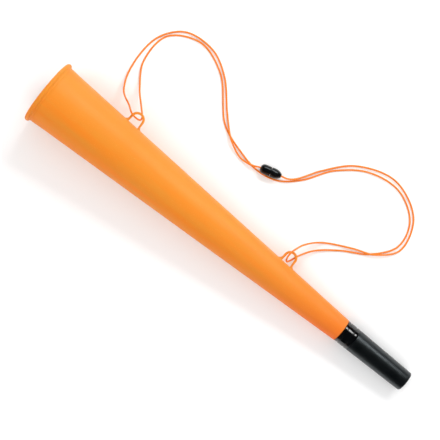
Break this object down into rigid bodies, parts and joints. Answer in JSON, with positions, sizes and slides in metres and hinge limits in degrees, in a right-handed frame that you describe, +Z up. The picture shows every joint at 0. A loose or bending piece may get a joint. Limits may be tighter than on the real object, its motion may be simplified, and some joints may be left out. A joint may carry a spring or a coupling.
{
  "type": "stadium horn",
  "caption": "Long thin conical blow horn with a rolled bell rim, glossy neck collar, pull-off black mouthpiece over a reed unit, and a thin cord lanyard with a breakaway clasp.",
  "frame": {"origin": "on the surface that the horn lies on, under the middle of the horn's own box; the lanyard is left out of that box", "axes": "+X from the bell to the mouthpiece, +Y the side that the lugs and the lanyard are on, +Z up; the horn lies on its bell bead and on the end of its mouthpiece"},
  "size_m": [0.3692, 0.149, 0.0563],
  "materials": {
    "horn_plastic": "satin moulded plastic, orange",
    "collar_plastic": "high gloss, black",
    "mouthpiece_plastic": "matte, black",
    "shallot_plastic": "moulded, ivory",
    "reed_film": "stiff polyester sheet, pale grey",
    "clasp_plastic": "satin, black",
    "cord": "round braided cord, orange"
  },
  "bodies": {
    "horn": {"horn_cone": "horn_plastic", "front_lug": "horn_plastic", "rear_lug": "horn_plastic", "lanyard_cord": "cord", "clasp_socket": "clasp_plastic", "socket_knot": "cord"},
    "reed_unit": {"neck_collar": "collar_plastic", "reed_shallot": "shallot_plastic", "reed_clamp": "collar_plastic"},
    "reed": {"reed_tongue": "reed_film"},
    "mouthpiece": {"mouthpiece_tube": "mouthpiece_plastic"},
    "clasp_plug": {"clasp_plug": "clasp_plastic", "plug_knot": "cord"}
  },
  "joints": [
    {"name": "neck_slide", "type": "slide", "parent": "horn", "child": "reed_unit", "axis": [0.9985, 0, -0.054], "range_m": [0, 0.014]},
    {"name": "mouthpiece_slide", "type": "slide", "parent": "reed_unit", "child": "mouthpiece", "axis": [0.9985, 0, -0.054], "range_m": [0, 0.012]},
    {"name": "reed_hinge", "type": "hinge", "parent": "reed_unit", "child": "reed", "pos_m": [0.14934, -0.0028, 0.01303], "axis": [0, -1, 0], "range_deg": [-1.3, 2.5], "stiffness_Nm_per_rad": 0.02},
    {"name": "clasp_slide", "type": "slide", "parent": "horn", "child": "clasp_plug", "axis": [0.9593, 0.2823, 0], "range_m": [0, 0.0045]}
  ]
}
